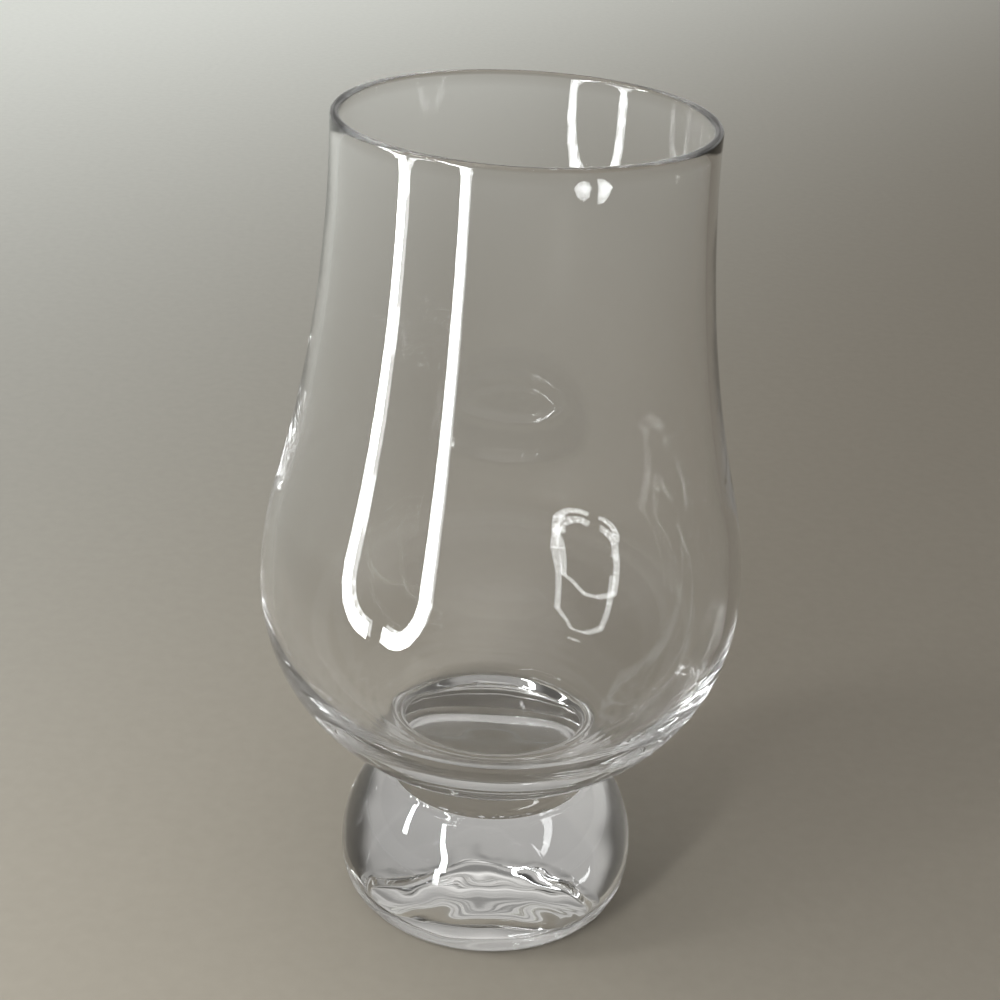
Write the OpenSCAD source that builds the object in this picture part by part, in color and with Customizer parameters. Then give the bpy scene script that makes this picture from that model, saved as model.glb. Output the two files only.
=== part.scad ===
// Tulip-shaped liqueur glass: a blown bowl with a short neck, fused to a solid pressed foot.
// Millimetres, +Z up. The origin is the centre of the base, on the table.

/* [Overall] */
// Height from the table to the top of the rim
total_h = 115; // [105:0.5:125]

/* [Bowl] */
// Outside diameter at the belly
belly_d = 66.5; // [61:0.5:72]
// Outside diameter at the rim
rim_d = 48.6; // [44:0.2:53]
// Outside radius of the bowl below the belly
lower_bowl_r = 27.4; // [25.5:0.1:29]
// Outside radius of the swell just above the belly
swell_r = 55; // [42:1:80]
// Wall at the rim, rounded over at the top
rim_wall = 1.2; // [0.9:0.1:1.8]
// Wall at the belly
belly_wall = 1.6; // [1.2:0.1:2.4]
// Inside radius of the bowl below the belly
lower_inside_r = 21.5; // [19:0.25:24]
// Inside radius of the shallow floor
floor_r = 44; // [38:1:62]

/* [Neck] */
// Diameter of the neck, and of the fused face between bowl and foot
neck_d = 29.5; // [26:0.1:33]
// Straight length of the neck above the fused face
neck_h = 2.6; // [1:0.1:4]
// Radius of the hollow where the neck spreads into the bowl
neck_fillet_r = 3; // [2:0.1:5]

/* [Foot] */
// Height of the foot, from the table to the fused face
foot_h = 19.1; // [17:0.1:21.5]
// Widest diameter of the foot
foot_d = 43.4; // [40:0.2:47]
// Height of the widest line above the table
foot_widest_h = 5; // [4:0.1:7]
// Reach of the tight lower edge, from the widest line in to the base ring
foot_edge_w = 1.9; // [1.4:0.1:3]
// Width of the flat ring that the glass stands on
base_ring_w = 1; // [0.8:0.1:2]
// Depth of the wide oval hollow under the foot
punt_h = 3.6; // [2.4:0.1:4.8]

/* [Hidden] */
$fn = 144;
arc_steps = 14;

// Outside of the bowl
belly_r = belly_d / 2;
rim_r = rim_d / 2;
rim_z = total_h - rim_wall / 2;
neck_r = neck_d / 2;
neck_z = foot_h + neck_h;
lower_bowl_x = belly_r - lower_bowl_r;
neck_fillet_x = neck_r + neck_fillet_r;
neck_to_belly = sqrt(pow(lower_bowl_r + neck_fillet_r, 2) - pow(neck_fillet_x - lower_bowl_x, 2));
belly_z = neck_z + neck_to_belly;
neck_turn = atan2(neck_to_belly, lower_bowl_x - neck_fillet_x);

// Inside of the bowl
belly_inside_r = belly_r - belly_wall;
rim_inside_r = rim_r - rim_wall;
swell_inside_r = swell_r - belly_wall;
lower_inside_x = belly_inside_r - lower_inside_r;
floor_arc_z = belly_z + sqrt(pow(floor_r - lower_inside_r, 2) - pow(lower_inside_x, 2));
floor_turn = atan2(belly_z - floor_arc_z, lower_inside_x);

// Outside of the foot
foot_r = foot_d / 2;
shoulder_turn = bend(foot_r - neck_r, foot_h - foot_widest_h);
shoulder_r = (foot_h - foot_widest_h) / sin(shoulder_turn);
base_r = foot_r - foot_edge_w;
punt_r = base_r - base_ring_w;

// Turn of an arc that runs on for "along" while it draws aside by "aside"
function bend(aside, along) = 2 * atan(aside / along);

// Points of an arc about (x, z), oval when its two radii differ
function oval(x, z, rx, rz, from, to) =
    [for (i = [0:arc_steps]) let (a = from + (to - from) * i / arc_steps) [x + rx * cos(a), z + rz * sin(a)]];

function arc(x, z, r, from, to) = oval(x, z, r, r, from, to);

// Wall above the belly: a swell that runs smoothly into a hollow curve, upright again at the rim
function ogee(low_r, high_r, bulge_r) =
    let (rise = rim_z - belly_z)
    let (turn = bend(low_r - high_r, rise))
    let (hollow_r = rise / sin(turn) - bulge_r)
    concat(
        arc(low_r - bulge_r, belly_z, bulge_r, 0, turn),
        arc(high_r + hollow_r, rim_z, hollow_r, 180 + turn, 180)
    );

function reversed(points) = [for (i = [len(points) - 1:-1:0]) points[i]];

// Two arcs that meet share an end point, which is kept once
function no_repeats(points) =
    [for (i = [0:len(points) - 1]) if (i == 0 || norm(points[i] - points[i - 1]) > 0.001) points[i]];

// Blown bowl: solid neck, thick rounded bottom, thin upper wall and a rounded rim
module bowl() {
    outside = concat(
        [[0, foot_h], [neck_r, foot_h]],
        arc(neck_fillet_x, neck_z, neck_fillet_r, 180, neck_turn),
        arc(lower_bowl_x, belly_z, lower_bowl_r, neck_turn - 180, 0),
        ogee(belly_r, rim_r, swell_r)
    );
    rim = arc(rim_r - rim_wall / 2, rim_z, rim_wall / 2, 0, 180);
    inside = concat(
        reversed(ogee(belly_inside_r, rim_inside_r, swell_inside_r)),
        arc(lower_inside_x, belly_z, lower_inside_r, 0, floor_turn),
        arc(0, floor_arc_z, floor_r, floor_turn, -90)
    );
    color([0.86, 0.89, 0.88, 0.4])
        rotate_extrude()
            polygon(no_repeats(concat(outside, rim, inside)));
}

// Pressed foot: solid, with a domed shoulder, a tightly rounded lower edge and a wide hollow underside
module foot() {
    outline = concat(
        oval(0, 0, punt_r, punt_h, 90, 0),
        oval(base_r, foot_widest_h, foot_edge_w, foot_widest_h, -90, 0),
        arc(foot_r - shoulder_r, foot_widest_h, shoulder_r, 0, shoulder_turn),
        [[0, foot_h]]
    );
    color([0.8, 0.84, 0.83, 0.5])
        rotate_extrude()
            polygon(no_repeats(outline));
}

bowl();
foot();
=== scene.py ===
from functools import partial
from math import atan, atan2, cos, exp, pi, radians, sin, sqrt, tan

import bpy
from mathutils import Matrix, Vector


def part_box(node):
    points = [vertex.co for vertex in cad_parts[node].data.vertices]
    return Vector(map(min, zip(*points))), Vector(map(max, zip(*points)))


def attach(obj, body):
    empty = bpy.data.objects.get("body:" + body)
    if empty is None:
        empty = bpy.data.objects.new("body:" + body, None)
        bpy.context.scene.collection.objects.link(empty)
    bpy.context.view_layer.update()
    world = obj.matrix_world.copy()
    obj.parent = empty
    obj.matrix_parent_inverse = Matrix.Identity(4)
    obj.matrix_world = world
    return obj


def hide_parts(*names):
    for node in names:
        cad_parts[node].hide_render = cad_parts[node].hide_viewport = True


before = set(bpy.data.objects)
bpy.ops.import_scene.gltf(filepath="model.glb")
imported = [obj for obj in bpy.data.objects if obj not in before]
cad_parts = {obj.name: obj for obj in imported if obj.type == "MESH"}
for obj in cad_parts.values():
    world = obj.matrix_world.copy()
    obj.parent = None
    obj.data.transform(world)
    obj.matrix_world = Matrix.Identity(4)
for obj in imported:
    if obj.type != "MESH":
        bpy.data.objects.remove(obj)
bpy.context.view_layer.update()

# Foot: a solid lump of clear glass, pressed in a mould and fire-polished. It stands on a narrow flat
# ring round a wide oval hollow with soft ripples, and its flat top is fused to the neck of the bowl.
MM = 0.001
foot_low, foot_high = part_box("foot")
foot_r = min(foot_high.x, foot_high.y, -foot_low.x, -foot_low.y)
foot_h = foot_high.z
foot_widest_h = 5.0 * MM
foot_edge_w = 1.9 * MM
base_ring_w = 1.0 * MM
punt_h = 3.6 * MM
neck_r = 14.75 * MM
ripple_depth = 0.45 * MM
ripple_scale = 140.0
foot_segments = 224
foot_tint = (0.985, 0.985, 0.985, 1)
same_place = 0.001 * MM
base_r = foot_r - foot_edge_w
punt_r = base_r - base_ring_w


def bend(aside, along):
    """Turn of an arc that runs on for along while it draws aside by aside."""
    return 2 * atan(aside / along)


def arc(x, z, rx, rz, start, end, steps):
    """Points of an arc about (x, z), oval when its two radii differ."""
    turns = [start + (end - start) * i / steps for i in range(steps + 1)]
    return [(x + rx * cos(a), z + rz * sin(a)) for a in turns]


def straight(start, end, steps):
    """Points along a straight line, both ends included."""
    return [tuple(Vector(start).lerp(Vector(end), i / steps)) for i in range(steps + 1)]


def no_doubles(points):
    """Two arcs that meet share an end point, which is kept once."""
    kept = points[:1]
    for point in points[1:]:
        if (Vector(point) - Vector(kept[-1])).length > same_place:
            kept.append(point)
    return kept


shoulder_turn = bend(foot_r - neck_r, foot_h - foot_widest_h)
shoulder_r = (foot_h - foot_widest_h) / sin(shoulder_turn)
foot_outline = (
    arc(0, 0, punt_r, punt_h, pi / 2, 0, steps=66)
    + straight((punt_r, 0), (base_r, 0), steps=8)
    + arc(base_r, foot_widest_h, foot_edge_w, foot_widest_h, -pi / 2, 0, steps=48)
    + arc(foot_r - shoulder_r, foot_widest_h, shoulder_r, shoulder_r, 0, shoulder_turn, steps=48)
    + [(0, foot_h)]
)


def add_node(tree, kind, sources=None, **settings):
    """A new node with its settings, its inputs set to values or linked to other nodes' outputs."""
    node = tree.nodes.new(kind)
    for key, value in settings.items():
        setattr(node, key, value)
    for key, value in (sources or {}).items():
        if isinstance(value, bpy.types.NodeSocket):
            tree.links.new(value, node.inputs[key])
        else:
            node.inputs[key].default_value = value
    return node


def node_maths(tree, operation, first, second=0.0):
    """A sum of one or two values on a node tree."""
    return add_node(tree, "ShaderNodeMath", {0: first, 1: second}, operation=operation).outputs[0]


def soft_step(tree, value, start, end, top=1.0):
    """A value on a node tree that goes softly from 0 at start to top at end."""
    sources = {"Value": value, "From Min": start, "From Max": end, "To Max": top}
    return add_node(tree, "ShaderNodeMapRange", sources, interpolation_type="SMOOTHSTEP").outputs[0]


def turned_glass_tree():
    """Geometry nodes that turn an outline about the axis and sink soft ripples into its low parts."""
    weld = 0.002 * MM
    underside_facing = -0.3
    edge_facing = -0.8
    side_facing = -0.1
    full_ripple_share = 0.9
    side_ripple_top = 13 * MM
    side_ripple_full = 4 * MM
    side_ripple_share = 0.35
    ripple_detail = 0.5
    sharp_corner = radians(35)

    tree = bpy.data.node_groups.new("turned_glass", "GeometryNodeTree")
    face = tree.interface
    face.new_socket("Outline", in_out="INPUT", socket_type="NodeSocketGeometry")
    face.new_socket("Outline Points", in_out="INPUT", socket_type="NodeSocketInt")
    face.new_socket("Segments", in_out="INPUT", socket_type="NodeSocketInt")
    face.new_socket("Ripple Depth", in_out="INPUT", socket_type="NodeSocketFloat")
    face.new_socket("Ripple Radius", in_out="INPUT", socket_type="NodeSocketFloat")
    face.new_socket("Ripple Scale", in_out="INPUT", socket_type="NodeSocketFloat")
    face.new_socket("Joint Height", in_out="INPUT", socket_type="NodeSocketFloat")
    face.new_socket("Glass", in_out="INPUT", socket_type="NodeSocketMaterial")
    face.new_socket("Fused Face", in_out="INPUT", socket_type="NodeSocketMaterial")
    face.new_socket("Piece", in_out="OUTPUT", socket_type="NodeSocketGeometry")
    add = partial(add_node, tree)
    maths = partial(node_maths, tree)

    # A flat grid is swept round: its rows follow the outline, and its columns the turn
    given = add("NodeGroupInput").outputs
    around = maths("ADD", given["Segments"], 1.0)
    sheet = add("GeometryNodeMeshGrid", {"Vertices X": given["Outline Points"], "Vertices Y": around})
    index = add("GeometryNodeInputIndex").outputs[0]
    along = maths("FLOOR", maths("DIVIDE", index, around))
    step = maths("DIVIDE", -2 * pi, given["Segments"])
    turn = maths("MULTIPLY", maths("FLOORED_MODULO", index, around), step)
    place = add("GeometryNodeInputPosition").outputs[0]
    outline = add(
        "GeometryNodeSampleIndex",
        {"Geometry": given["Outline"], "Value": place, "Index": along},
        data_type="FLOAT_VECTOR",
    )
    flat = add("ShaderNodeSeparateXYZ", {0: outline.outputs[0]}).outputs
    swept = add(
        "ShaderNodeCombineXYZ",
        {
            "X": maths("MULTIPLY", flat["X"], maths("COSINE", turn)),
            "Y": maths("MULTIPLY", flat["X"], maths("SINE", turn)),
            "Z": flat["Z"],
        },
    )
    body = add(
        "GeometryNodeSetPosition",
        {"Geometry": sheet.outputs["Mesh"], "Position": swept.outputs[0]},
    )
    body = add("GeometryNodeMergeByDistance", {"Geometry": body.outputs[0], "Distance": weld})

    # Ripples lie in the hollow underneath and, weaker, low on the side
    height = add("ShaderNodeSeparateXYZ", {0: place}).outputs["Z"]
    outward = add("GeometryNodeInputNormal").outputs[0]
    facing = add("ShaderNodeSeparateXYZ", {0: outward}).outputs["Z"]
    from_axis = add("ShaderNodeVectorMath", {0: place, 1: (1, 1, 0)}, operation="MULTIPLY").outputs[0]
    from_axis = add("ShaderNodeVectorMath", {0: from_axis}, operation="LENGTH").outputs["Value"]
    full_ripple_r = maths("MULTIPLY", given["Ripple Radius"], full_ripple_share)
    hollow = soft_step(tree, from_axis, given["Ripple Radius"], full_ripple_r)
    hollow = maths("MULTIPLY", hollow, maths("LESS_THAN", facing, underside_facing))
    low_side = soft_step(tree, height, side_ripple_top, side_ripple_full, side_ripple_share)
    low_side = maths("MULTIPLY", low_side, soft_step(tree, facing, edge_facing, side_facing))
    rippled = maths("ADD", hollow, low_side)
    noise = add(
        "ShaderNodeTexNoise",
        {"Vector": place, "Scale": given["Ripple Scale"], "Detail": ripple_detail},
    )
    sink = maths("MULTIPLY", maths("MULTIPLY", noise.outputs[0], rippled), given["Ripple Depth"])
    inward = add(
        "ShaderNodeVectorMath",
        {0: outward, "Scale": maths("MULTIPLY", sink, -1.0)},
        operation="SCALE",
    )
    body = add("GeometryNodeSetPosition", {"Geometry": body.outputs[0], "Offset": inward.outputs[0]})

    # Smooth all over, apart from the sharp corners round the fused face
    body = add("GeometryNodeSetShadeSmooth", {"Geometry": body.outputs[0]})
    corner = maths("GREATER_THAN", add("GeometryNodeInputMeshEdgeAngle").outputs[0], sharp_corner)
    body = add(
        "GeometryNodeSetShadeSmooth",
        {"Geometry": body.outputs[0], "Selection": corner, "Shade Smooth": False},
        domain="EDGE",
    )
    body = add("GeometryNodeRealizeInstances", {"Geometry": body.outputs[0]})
    body = add("GeometryNodeSetMaterial", {"Geometry": body.outputs[0], "Material": given["Glass"]})
    at_joint = add(
        "FunctionNodeCompare",
        {"A": height, "B": given["Joint Height"], "Epsilon": same_place},
        operation="EQUAL",
    )
    body = add(
        "GeometryNodeSetMaterial",
        {
            "Geometry": body.outputs[0],
            "Selection": at_joint.outputs[0],
            "Material": given["Fused Face"],
        },
    )
    add("NodeGroupOutput", {"Piece": body.outputs[0]})
    return tree


turned_glass = turned_glass_tree()


def turned_piece(name, outline, sizes):
    """A closed glass piece, turned from its outline by the geometry nodes and kept as a plain mesh."""
    edges = [(i, i + 1) for i in range(len(outline) - 1)]
    line = bpy.data.meshes.new(name + "_outline")
    line.from_pydata([(x, 0, z) for x, z in outline], edges, [])
    piece = bpy.data.objects.new(name, line)
    bpy.context.collection.objects.link(piece)
    nodes = piece.modifiers.new("turned_glass", "NODES")
    nodes.node_group = turned_glass
    given = {**sizes, "Outline Points": len(outline)}
    for item in turned_glass.interface.items_tree:
        if item.name in given:
            nodes[item.identifier] = given[item.name]
    made = piece.evaluated_get(bpy.context.evaluated_depsgraph_get())
    piece.data = bpy.data.meshes.new_from_object(made)
    piece.modifiers.remove(nodes)
    bpy.data.meshes.remove(line)
    return piece


def clear_glass(name, tint):
    """Fire-polished clear glass with a barely uneven skin, and a fine grain along the fused seam."""
    skin_scale = 55.0
    skin_strength = 0.05
    skin_depth = 1.0 * MM
    grain_scale = 800.0
    grain_strength = 0.7
    grain_depth = 0.3 * MM
    grain_reach = 0.7 * MM
    grain_full = 0.1 * MM

    material = bpy.data.materials.new(name)
    material.use_nodes = True
    tree = material.node_tree
    add = partial(add_node, tree)
    glass = tree.nodes["Principled BSDF"]
    glass.inputs["Transmission Weight"].default_value = 1.0
    glass.inputs["IOR"].default_value = 1.52
    glass.inputs["Roughness"].default_value = 0.0
    glass.inputs["Base Color"].default_value = tint
    where = add("ShaderNodeTexCoord").outputs["Object"]
    skin = add("ShaderNodeTexNoise", {"Vector": where, "Scale": skin_scale, "Detail": 1.0})
    waves = add(
        "ShaderNodeBump",
        {"Height": skin.outputs["Fac"], "Strength": skin_strength, "Distance": skin_depth},
    )
    height = add("ShaderNodeSeparateXYZ", {0: where}).outputs["Z"]
    from_seam = node_maths(tree, "ABSOLUTE", node_maths(tree, "SUBTRACT", height, foot_h))
    at_seam = soft_step(tree, from_seam, grain_reach, grain_full)
    grain = add("ShaderNodeTexNoise", {"Vector": where, "Scale": grain_scale, "Detail": 0.0})
    specks = add(
        "ShaderNodeBump",
        {
            "Height": node_maths(tree, "MULTIPLY", at_seam, grain.outputs["Fac"]),
            "Strength": grain_strength,
            "Distance": grain_depth,
            "Normal": waves.outputs["Normal"],
        },
    )
    tree.links.new(specks.outputs["Normal"], glass.inputs["Normal"])
    return material


def fused_seam():
    """The fused face has no skin of its own: light goes straight on from one piece into the other."""
    material = bpy.data.materials.new("fused_seam")
    material.use_nodes = True
    nodes, links = material.node_tree.nodes, material.node_tree.links
    nodes.remove(nodes["Principled BSDF"])
    clear = nodes.new("ShaderNodeBsdfTransparent")
    links.new(clear.outputs[0], nodes["Material Output"].inputs["Surface"])
    return material


seam = fused_seam()
foot = turned_piece(
    "foot_glass",
    no_doubles(foot_outline),
    {
        "Segments": foot_segments,
        "Ripple Depth": ripple_depth,
        "Ripple Radius": punt_r,
        "Ripple Scale": ripple_scale,
        "Joint Height": foot_h,
        "Glass": clear_glass("foot_clear_glass", foot_tint),
        "Fused Face": seam,
    },
)
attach(foot, "root")
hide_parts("foot")

# Bowl: blown in a mould that left faint rings, thick and round at the bottom and thin at the top, with
# a shallow dimple in its floor. Its solid neck is fused to the foot, and its rim was cut and melted
# round. It has no ripples.
bowl_low, bowl_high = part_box("bowl")
belly_r = min(bowl_high.x, bowl_high.y, -bowl_low.x, -bowl_low.y)
rim_r = 24.3 * MM
rim_wall = 1.2 * MM
belly_wall = 1.6 * MM
swell_r = 55.0 * MM
lower_bowl_r = 27.4 * MM
lower_inside_r = 21.5 * MM
floor_r = 44.0 * MM
neck_h = 2.6 * MM
neck_fillet_r = 3.0 * MM
ring_pitch = 2.3 * MM
ring_depth = 0.08 * MM
dimple_w = 6.5 * MM
dimple_depth = 0.9 * MM
bowl_segments = 288
bowl_tint = (0.99, 0.99, 0.99, 1)

rim_z = bowl_high.z - rim_wall / 2
neck_z = foot_h + neck_h
lower_bowl_x = belly_r - lower_bowl_r
neck_fillet_x = neck_r + neck_fillet_r
neck_to_belly = sqrt((lower_bowl_r + neck_fillet_r) ** 2 - (neck_fillet_x - lower_bowl_x) ** 2)
belly_z = neck_z + neck_to_belly
neck_turn = atan2(neck_to_belly, lower_bowl_x - neck_fillet_x)
belly_inside_r = belly_r - belly_wall
lower_inside_x = belly_inside_r - lower_inside_r
floor_arc_z = belly_z + sqrt((floor_r - lower_inside_r) ** 2 - lower_inside_x ** 2)
floor_turn = atan2(belly_z - floor_arc_z, lower_inside_x)


def ogee(low_r, high_r, bulge_r):
    """Wall above the belly: a swell, then a hollow curve that stands upright again at the rim."""
    rise = rim_z - belly_z
    turn = bend(low_r - high_r, rise)
    hollow_r = rise / sin(turn) - bulge_r
    swell = arc(low_r - bulge_r, belly_z, bulge_r, bulge_r, 0, turn, steps=16)
    return swell + arc(high_r + hollow_r, rim_z, hollow_r, hollow_r, pi + turn, pi, steps=30)


def ringed_arc(x, z, r, start, end, steps):
    """The blown bottom: an arc with faint rings that the mould left, dying out towards the belly."""
    full_share = 0.08
    last_share = 0.3
    ring_swing = 0.3
    slow_swing = 0.2
    slow_pitch = 1.63
    points = []
    for i in range(steps + 1):
        share = i / steps
        run = share * r * (end - start)
        fade = min(1, share / full_share) * max(0, 1 - share / last_share)
        around = run * 2 * pi / ring_pitch
        wave = 0.5 + ring_swing * sin(around) + slow_swing * sin(around / slow_pitch + 1)
        deep = r - ring_depth * wave * fade
        turn = start + (end - start) * share
        points.append((x + deep * cos(turn), z + deep * sin(turn)))
    return points


bowl_floor = [
    (x, z - dimple_depth * exp(-((x / dimple_w) ** 2)))
    for x, z in arc(0, floor_arc_z, floor_r, floor_r, floor_turn, -pi / 2, steps=48)
]
bowl_outline = (
    [(0, foot_h), (neck_r, foot_h)]
    + arc(neck_fillet_x, neck_z, neck_fillet_r, neck_fillet_r, pi, neck_turn, steps=14)
    + ringed_arc(lower_bowl_x, belly_z, lower_bowl_r, neck_turn - pi, 0, steps=120)
    + ogee(belly_r, rim_r, swell_r)
    + arc(rim_r - rim_wall / 2, rim_z, rim_wall / 2, rim_wall / 2, 0, pi, steps=14)
    + ogee(belly_inside_r, rim_r - rim_wall, swell_r - belly_wall)[::-1]
    + arc(lower_inside_x, belly_z, lower_inside_r, lower_inside_r, 0, floor_turn, steps=44)
    + bowl_floor
)
bowl = turned_piece(
    "bowl_glass",
    no_doubles(bowl_outline),
    {
        "Segments": bowl_segments,
        "Joint Height": foot_h,
        "Glass": clear_glass("bowl_clear_glass", bowl_tint),
        "Fused Face": seam,
    },
)
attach(bowl, "root")
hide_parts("bowl")

# Floor: a plain warm grey sheet of paper with a faint grain. Light and shade are painted into its
# tone:
# painted shade makes it darkest round the glass, and painted light makes it paler towards the back
# left, and far off to the front right.
floor_half = 3.0
floor_drop = 0.05 * MM
paper_roughness = 0.6
# The near tone is the warm grey paper with painted shade round the glass; the back and front tones are
# painted light, pale and slightly cool at the back left.
near_painted_shade_tone = (0.252, 0.226, 0.186, 1)
back_painted_light_tone = (0.95, 0.97, 0.93, 1)
back_way = (-0.8, 0.5, 0)
back_start, back_end = 0.0, 0.50
front_painted_light_tone = (0.66, 0.65, 0.62, 1)
front_way = (0.55, -0.85, 0)
front_start, front_end = 0.04, 0.60
paper_scale = 420.0
paper_detail = 3.0
paper_darkest, paper_palest = 0.94, 1.06

corners = [(-1, -1), (1, -1), (1, 1), (-1, 1)]
floor_points = [(x * floor_half, y * floor_half, -floor_drop) for x, y in corners]
floor_mesh = bpy.data.meshes.new("floor")
floor_mesh.from_pydata(floor_points, [], [(0, 1, 2, 3)])
floor = bpy.data.objects.new("floor", floor_mesh)
bpy.context.collection.objects.link(floor)
floor_paint = bpy.data.materials.new("floor_paint")
floor_paint.use_nodes = True
paint_tree = floor_paint.node_tree
paper = paint_tree.nodes["Principled BSDF"]
paper.inputs["Roughness"].default_value = paper_roughness
floor_place = add_node(paint_tree, "ShaderNodeTexCoord").outputs["Object"]


def along_way(tree, where, way):
    """How far a place or a direction lies along a way, on a node tree."""
    product = add_node(tree, "ShaderNodeVectorMath", {0: where, 1: way}, operation="DOT_PRODUCT")
    return product.outputs["Value"]


def tone_towards(tone, far_tone, way, start, end):
    """A tone of the floor that turns softly into another one along a way."""
    share = soft_step(paint_tree, along_way(paint_tree, floor_place, way), start, end)
    sources = {"A": tone, "B": far_tone, "Factor": share}
    return add_node(paint_tree, "ShaderNodeMix", sources, data_type="RGBA").outputs["Result"]


# Painted light and shade: the tone is mixed paler towards the back left and the front right, away from
# the painted shade round the glass.
floor_tone_and_painted_light = tone_towards(near_painted_shade_tone, back_painted_light_tone, back_way, back_start, back_end)
floor_tone_and_painted_light = tone_towards(floor_tone_and_painted_light, front_painted_light_tone, front_way, front_start, front_end)
floor_grain = add_node(
    paint_tree,
    "ShaderNodeTexNoise",
    {"Vector": floor_place, "Scale": paper_scale, "Detail": paper_detail},
)
grain_tone = add_node(
    paint_tree,
    "ShaderNodeMapRange",
    {"Value": floor_grain.outputs["Fac"], "To Min": paper_darkest, "To Max": paper_palest},
)
grained = add_node(
    paint_tree,
    "ShaderNodeVectorMath",
    {0: floor_tone_and_painted_light, "Scale": grain_tone.outputs[0]},
    operation="SCALE",
)
paint_tree.links.new(grained.outputs[0], paper.inputs["Base Color"])
floor_mesh.materials.append(floor_paint)

# Studio light: a room that is brighter on the left and behind the glass, dark flags at both sides that
# draw the edges of the glass, and a frame of strip lamps that stands in front and to the left. Louvres
# keep some of its light off the foot.
room_tint = (1.0, 0.985, 0.95, 1)
bright_side = Vector((-0.5, 0.8, 0.3)).normalized()
dim_level = 0.22
bright_level = 0.42
bright_focus = 2.0
bright_start, bright_end = 0.30, 0.56
overhead_level = 1.3
overhead_seen = 0.6
overhead_focus = 6.0
flag_depth = 0.85
flag_edges = [(0.45, 0.60), (0.76, 0.90)]
backdrop_level = 0.5
backdrop_end, backdrop_full = 0.30, 0.20

world = bpy.data.worlds.new("studio")
world.use_nodes = True
bpy.context.scene.world = world
room_tree = world.node_tree
room = room_tree.nodes["Background"]
room.inputs["Color"].default_value = room_tint
room_maths = partial(node_maths, room_tree)
toward = add_node(room_tree, "ShaderNodeTexCoord").outputs["Generated"]
heading = add_node(room_tree, "ShaderNodeSeparateXYZ", {0: toward}).outputs

# The light that falls on the floor
facing = room_maths("MULTIPLY", room_maths("ADD", along_way(room_tree, toward, bright_side), 1.0), 0.5)
bright = room_maths("MULTIPLY", room_maths("POWER", facing, bright_focus), bright_level - dim_level)
bright = room_maths("MULTIPLY", bright, soft_step(room_tree, heading["Z"], bright_start, bright_end))
wall_level = room_maths("ADD", bright, dim_level)
overhead = room_maths("POWER", room_maths("MAXIMUM", heading["Z"], 0.0), overhead_focus)
lit_level = room_maths("ADD", wall_level, room_maths("MULTIPLY", overhead, overhead_level))

# What the glass shows: less light overhead, the flags, and the backdrop low down
seen_level = room_maths("ADD", wall_level, room_maths("MULTIPLY", overhead, overhead_seen))
aside = room_maths("ABSOLUTE", heading["X"])
flag_sides = [soft_step(room_tree, aside, start, end, flag_depth) for start, end in flag_edges]
unflagged = room_maths("SUBTRACT", 1.0, room_maths("SUBTRACT", *flag_sides))
seen_level = room_maths("MULTIPLY", seen_level, unflagged)
backdrop = soft_step(room_tree, heading["Z"], backdrop_end, backdrop_full, backdrop_level)
seen_level = room_maths("MAXIMUM", seen_level, backdrop)

# The camera sees the same backdrop all over
sight = add_node(room_tree, "ShaderNodeLightPath").outputs
by_glass = room_maths("MAXIMUM", sight["Is Glossy Ray"], sight["Is Transmission Ray"])
change = room_maths("SUBTRACT", seen_level, lit_level)
room_level = room_maths("ADD", lit_level, room_maths("MULTIPLY", change, by_glass))
in_sight = room_maths("MULTIPLY", sight["Is Camera Ray"], backdrop_level)
room_level = room_maths("MAXIMUM", room_level, in_sight)
room_tree.links.new(room_level, room.inputs["Strength"])

# A far lamp that only brightens the floor at the back left
far_light = bpy.data.lights.new("far_light", "AREA")
far_light.size = 0.5
far_light.energy = 0.8
far_light.color = (0.94, 1.0, 1.0)
far_holder = bpy.data.objects.new("far_light", far_light)
far_holder.location = (-0.5, 0.8, 0.5)
far_holder.visible_camera = False
far_holder.visible_glossy = False
far_holder.visible_transmission = False
bpy.context.collection.objects.link(far_holder)

# The lamp frame: each point has its turn round the glass, in degrees, and its height in metres
frame_far = 0.18
strip_w = 0.0155
thin_w = 0.014
strip_radiance = 40.0
strip_tint = (0.97, 1.0, 1.0)
strip_overlap = 0.2
wide_open = radians(89)
leg_louvre = radians(34)
corner_louvre = radians(24)
slit_louvre = radians(12)
right_leg = [(-30.3, 0.046), (-30.6, 0.085), (-37.6, 0.131)]
right_top = [(-37.6, 0.131), (-48.2, 0.222), (-61, 0.236)]
top_bar = [(-61, 0.236), (-72, 0.250), (-81, 0.220), (-85.5, 0.169)]
left_top = [(-85.5, 0.169), (-76.8, 0.124), (-70.6, 0.084)]
left_leg = [(-68, 0.088), (-67.8, 0.0785), (-67.6, 0.069), (-67.4, 0.0595), (-67.2, 0.050)]
left_corner = [
    (-67.2, 0.050), (-66.8, 0.036), (-65.2, 0.024), (-62.4, 0.015), (-59, 0.010), (-55, 0.008),
]
right_corner = [
    (-47.5, 0.010), (-44, 0.007), (-40.5, 0.008), (-37, 0.014), (-34, 0.024), (-31.6, 0.036),
    (-30.3, 0.050),
]
low_slit = [(-33.2, 0.047), (-33.2, 0.002)]

# Each bar: its points, width, share of the light, height that it aims at, and opening of its louvres
frame_bars = [
    (right_leg, strip_w, 1, None, wide_open),
    (right_top, thin_w, 1, None, wide_open),
    (top_bar, thin_w, 0.6, None, wide_open),
    (left_top, thin_w, 1, None, wide_open),
    (left_leg, strip_w, 2.2, 0.16, leg_louvre),
    (left_corner, strip_w, 1.5, 0.10, corner_louvre),
    (right_corner, strip_w, 1.5, 0.10, corner_louvre),
    (low_slit, thin_w, 1, 0.0, slit_louvre),
]


def frame_point(turn, height):
    """A point of the lamp frame: turn is in degrees round the glass from the front, to the right."""
    return Vector((frame_far * sin(radians(turn)), -frame_far * cos(radians(turn)), height))


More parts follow.
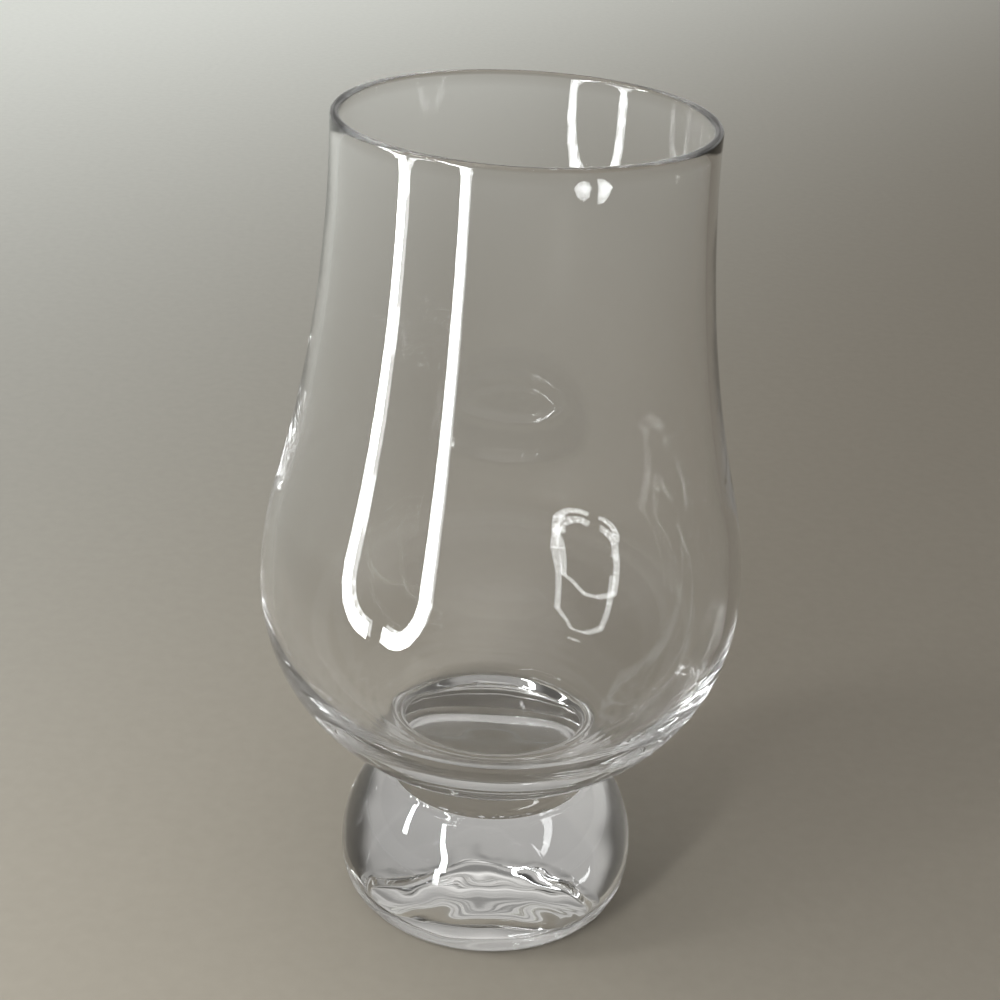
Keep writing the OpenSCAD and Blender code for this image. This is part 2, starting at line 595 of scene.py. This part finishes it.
def strip_lamp(name, start, end, width, radiance, aim_z, louvre):
    """A strip lamp that faces the axis, level or tilted to aim_z, behind louvres open by an angle."""
    middle = (start + end) / 2
    light = bpy.data.lights.new(name, "AREA")
    light.shape = "RECTANGLE"
    light.size = width
    light.size_y = (end - start).length + strip_overlap * width
    light.spread = 2 * louvre
    narrowed = 1 - louvre / tan(louvre)
    light.energy = radiance * pi * light.size * light.size_y * narrowed
    light.color = strip_tint
    target = Vector((0, 0, middle.z if aim_z is None else aim_z))
    out_of_face = (middle - target).normalized()
    length = end - start
    length = (length - out_of_face * length.dot(out_of_face)).normalized()
    across = length.cross(out_of_face)
    turned = Matrix((across, length, out_of_face)).transposed()
    holder = bpy.data.objects.new(name, light)
    holder.matrix_world = Matrix.Translation(middle) @ turned.to_4x4()
    holder.visible_camera = False
    bpy.context.collection.objects.link(holder)


for points, bar_w, light_share, aim_z, louvre in frame_bars:
    for start, end in zip(points, points[1:]):
        ends = frame_point(*start), frame_point(*end)
        strip_lamp("frame_strip", *ends, bar_w, light_share * strip_radiance, aim_z, louvre)

# Camera: low over the table, with the lens and the slight tilt of the photograph. Light runs round
# the rim by many total reflections, and light_bounces was picked for the photograph's grey.
image_w = 1000
lens_px = 1750.0
camera_back = 214.22 * MM
camera_up = 168.45 * MM
pitch, yaw, roll = radians(26.485), radians(-0.18), radians(3.233)
light_bounces = 90

ahead = Vector((sin(yaw) * cos(pitch), cos(yaw) * cos(pitch), -sin(pitch)))
right = Vector((cos(yaw), -sin(yaw), 0))
above = right.cross(ahead)
tilted_right = right * cos(roll) + above * sin(roll)
tilted_above = above * cos(roll) - right * sin(roll)
lens = bpy.data.cameras.new("camera")
lens.sensor_width = 36.0
lens.lens = lens_px / image_w * lens.sensor_width
lens.clip_start = 0.01
camera = bpy.data.objects.new("camera", lens)
camera_turn = Matrix((tilted_right, tilted_above, -ahead)).transposed()
camera.matrix_world = Matrix.Translation((0, -camera_back, camera_up)) @ camera_turn.to_4x4()
bpy.context.collection.objects.link(camera)
bpy.context.scene.camera = camera
bpy.context.scene.view_settings.view_transform = "Standard"
bpy.context.scene.cycles.max_bounces = light_bounces
bpy.context.scene.cycles.transmission_bounces = light_bounces
bpy.context.scene.cycles.glossy_bounces = light_bounces
